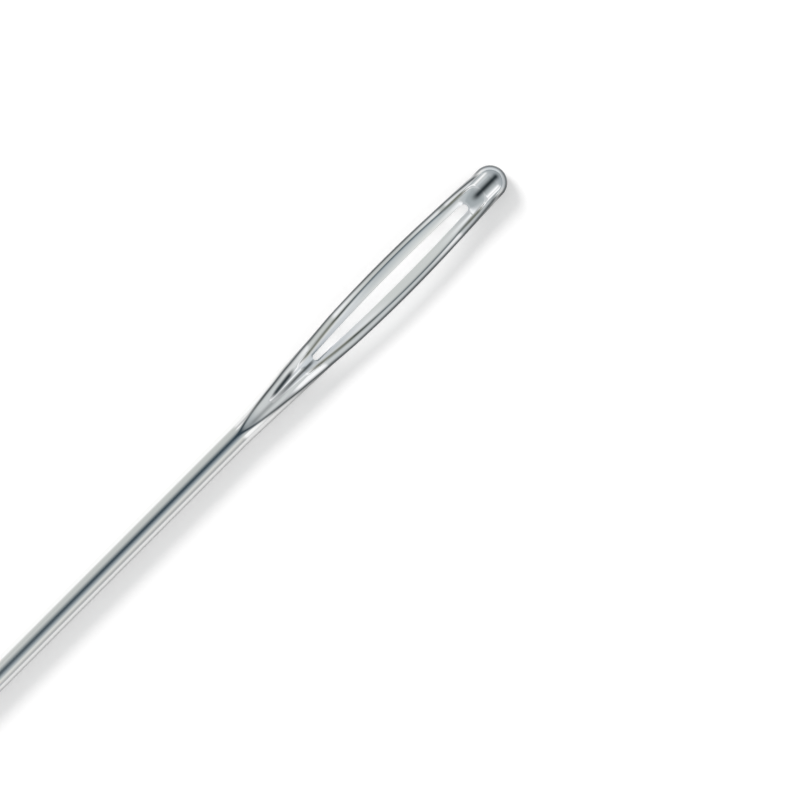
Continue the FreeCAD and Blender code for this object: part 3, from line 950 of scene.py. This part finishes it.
def table_material(studio):
    """White paint, with a lift for the camera and for what mirrors the table on the key's side, and
    with the light that comes through the eye."""
    material = bpy.data.materials.new("white_table")
    material.use_nodes = True
    nodes = material.node_tree.nodes
    links = material.node_tree.links
    nodes.clear()
    out = nodes.new("ShaderNodeOutputMaterial")
    paint = nodes.new("ShaderNodeBsdfDiffuse")
    paint.inputs["Color"].default_value = studio.table
    light_path = nodes.new("ShaderNodeLightPath")
    place = nodes.new("ShaderNodeTexCoord")
    split = nodes.new("ShaderNodeSeparateXYZ")
    links.new(place.outputs["Object"], split.inputs[0])
    key_side = nodes.new("ShaderNodeMapRange")
    key_side.interpolation_type = "SMOOTHSTEP"
    key_side.inputs["From Min"].default_value = -LIFT_EDGE
    key_side.inputs["From Max"].default_value = LIFT_EDGE
    links.new(split.outputs["Y"], key_side.inputs["Value"])
    mirrored = product(material, light_path.outputs["Is Glossy Ray"], key_side.outputs["Result"])
    seen = light_path.outputs["Is Camera Ray"]
    either = product(material, seen, 1.0, mirrored)
    level = product(material, either, studio.lift)
    spots = None
    for middle, reach, core, share in EYE_SPOTS:
        spot = eye_spot(material, place, middle, reach, core, studio.eye_light * share)
        spots = product(material, spot, 1.0, spots)
    lift = nodes.new("ShaderNodeEmission")
    lift.inputs["Color"].default_value = (1.0, 1.0, 1.0, 1.0)
    links.new(product(material, seen, spots, level), lift.inputs["Strength"])
    both = nodes.new("ShaderNodeAddShader")
    links.new(paint.outputs[0], both.inputs[0])
    links.new(lift.outputs[0], both.inputs[1])
    links.new(both.outputs[0], out.inputs["Surface"])
    return material


class NEEDLE_OT_stage(bpy.types.Operator):
    """Set the white table, the studio, the key light and the camera"""

    bl_idname = "needle.stage"
    bl_label = "Set Stage"

    def execute(self, context):
        scene = context.scene
        studio = scene.needle_studio
        scene.view_settings.view_transform = "Standard"
        scene.world = build_world()

        side = studio.table_side / 2
        mesh = bpy.data.meshes.new("table")
        mesh.from_pydata([(-side, -side, 0), (side, -side, 0), (side, side, 0), (-side, side, 0)],
                         [], [(0, 1, 2, 3)])
        mesh.materials.append(table_material(studio))
        table = bpy.data.objects.new("table", mesh)
        scene.collection.objects.link(table)

        key = bpy.data.lights.new("key", "SUN")
        key.energy = studio.key_power
        key.angle = studio.key_width
        key_object = bpy.data.objects.new("key", key)
        towards = Vector((0.0, math.cos(studio.key_height), math.sin(studio.key_height)))
        key_object.rotation_euler = towards.to_track_quat("Z", "Y").to_euler()
        key_object.visible_glossy = False
        scene.collection.objects.link(key_object)

        camera = bpy.data.cameras.new("camera")
        camera.sensor_width = 36.0
        camera.lens = studio.lens / MM
        camera_object = bpy.data.objects.new("camera", camera)
        scene.collection.objects.link(camera_object)
        end_pixel = Vector(END_PIXEL)
        climb = Vector(CLIMB).normalized()
        right = Vector((climb.x, -climb.y, 0.0))
        up = Vector((climb.y, climb.x, 0.0))
        pixel = MM_PER_PIXEL * MM
        half = FRAME_SIDE / 2
        end = Vector((scene.needle_sizes.full_length / 2, 0.0, scene.needle_sizes.shank_radius))
        centre = end + right * (half - end_pixel.x) * pixel + up * (end_pixel.y - half) * pixel
        distance = FRAME_SIDE * pixel / camera.sensor_width * camera.lens
        away = right.cross(up)
        camera_object.matrix_world = Matrix.Translation(centre + away * distance) @ Matrix(
            (right, up, away)).transposed().to_4x4()
        scene.camera = camera_object
        return {"FINISHED"}


class NEEDLE_PT_panel(bpy.types.Panel):
    """The needle's sizes, finish and stage"""

    bl_label = "Tapestry Needle"
    bl_idname = "NEEDLE_PT_panel"
    bl_space_type = "VIEW_3D"
    bl_region_type = "UI"
    bl_category = "Needle"

    def draw(self, context):
        layout = self.layout
        for group in (context.scene.needle_sizes, context.scene.needle_finish,
                      context.scene.needle_studio):
            box = layout.box()
            for name in group.__annotations__:
                box.prop(group, name)
        layout.operator(NEEDLE_OT_make.bl_idname)
        layout.operator(NEEDLE_OT_stage.bl_idname)


CLASSES = (NeedleSizes, NeedleFinish, StudioSettings, NEEDLE_OT_make, NEEDLE_OT_stage,
           NEEDLE_PT_panel)


def register():
    for item in CLASSES:
        bpy.utils.register_class(item)
    bpy.types.Scene.needle_sizes = bpy.props.PointerProperty(type=NeedleSizes)
    bpy.types.Scene.needle_finish = bpy.props.PointerProperty(type=NeedleFinish)
    bpy.types.Scene.needle_studio = bpy.props.PointerProperty(type=StudioSettings)


def unregister():
    del bpy.types.Scene.needle_studio
    del bpy.types.Scene.needle_finish
    del bpy.types.Scene.needle_sizes
    for item in reversed(CLASSES):
        bpy.utils.unregister_class(item)


def main():
    """Make the needle and its stage, and keep their sizes."""
    register()
    bpy.ops.needle.make()
    bpy.ops.needle.stage()


if __name__ == "__main__":
    main()
